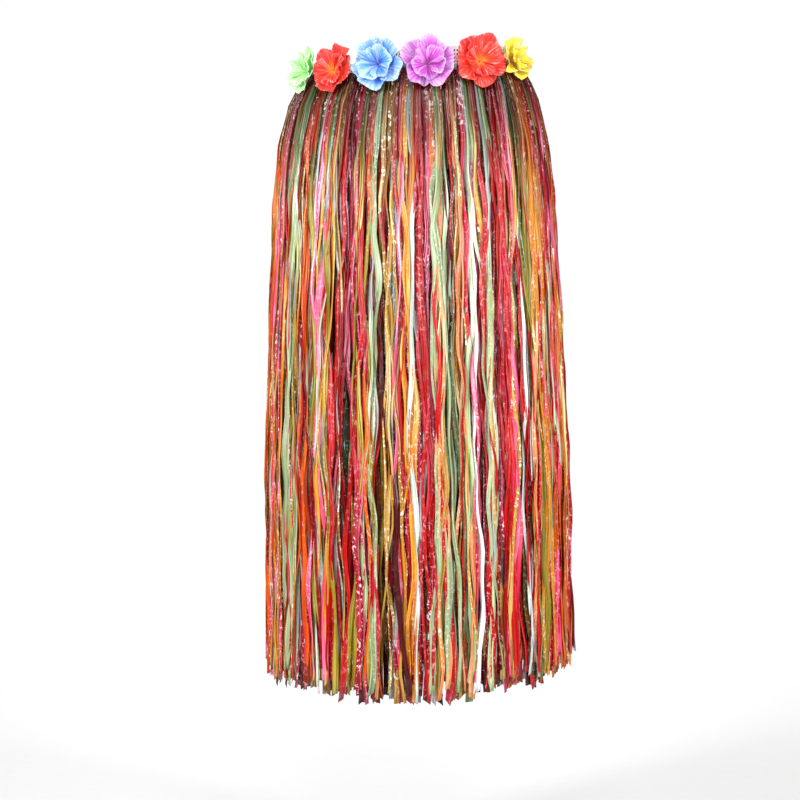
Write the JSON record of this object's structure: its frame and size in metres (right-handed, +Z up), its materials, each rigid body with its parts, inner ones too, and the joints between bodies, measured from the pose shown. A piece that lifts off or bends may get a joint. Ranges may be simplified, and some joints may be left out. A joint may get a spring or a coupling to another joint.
{
  "type": "grass skirt",
  "caption": "Long fringed skirt of crinkled multicoloured film strips on an elastic waistband with a row of fabric flowers.",
  "frame": {"origin": "middle of the waist opening, at the height of the waistband's centre line", "axes": "+Z up out of the waist, -Y out of the front, +X towards the side on the viewer's right from the front"},
  "size_m": [0.3993, 0.3096, 0.8357],
  "materials": {
    "band_elastic": "white knitted elastic with dark flecks between its cords",
    "film_red": "glossy crinkled crimson film strip",
    "film_pink": "glossy crinkled pink film strip",
    "film_orange": "glossy crinkled orange film strip",
    "film_gold": "glossy crinkled gold film strip",
    "film_sage": "glossy crinkled pale green film strip",
    "film_pearl": "pearly crinkled white film strip",
    "petal_red": "pleated flower cloth, orange towards the middle",
    "petal_blue": "pleated flower cloth, paler at its edges",
    "petal_purple": "pleated flower cloth, paler at its edges",
    "petal_yellow": "pleated flower cloth",
    "petal_green": "pleated flower cloth, thin enough to glow"
  },
  "bodies": {
    "root": {"waistband": "band_elastic", "hank_01": "film_red", "hank_02": "film_gold", "hank_03": "film_sage", "hank_04": "film_orange", "hank_05": "film_pink", "hank_06": "film_gold", "hank_07": "film_red", "hank_08": "film_sage", "hank_09": "film_pink", "hank_10": "film_gold", "hank_11": "film_orange", "hank_12": "film_pearl", "hank_13": "film_red", "hank_14": "film_gold", "hank_15": "film_sage", "hank_16": "film_orange", "hank_17": "film_pink", "hank_18": "film_gold", "hank_19": "film_red", "hank_20": "film_sage", "hank_21": "film_pink", "hank_22": "film_gold", "hank_23": "film_orange", "hank_24": "film_pearl", "flower_01_outer": "petal_green", "flower_01_inner": "petal_green", "flower_02_outer": "petal_red", "flower_02_inner": "petal_red", "flower_03_outer": "petal_blue", "flower_03_inner": "petal_blue", "flower_04_outer": "petal_purple", "flower_04_inner": "petal_purple", "flower_05_outer": "petal_red", "flower_05_inner": "petal_red", "flower_06_outer": "petal_yellow", "flower_06_inner": "petal_yellow", "flower_07_outer": "petal_green", "flower_07_inner": "petal_green", "flower_08_outer": "petal_blue", "flower_08_inner": "petal_blue", "flower_09_outer": "petal_red", "flower_09_inner": "petal_red", "flower_10_outer": "petal_purple", "flower_10_inner": "petal_purple", "flower_11_outer": "petal_yellow", "flower_11_inner": "petal_yellow"}
  },
  "joints": []
}
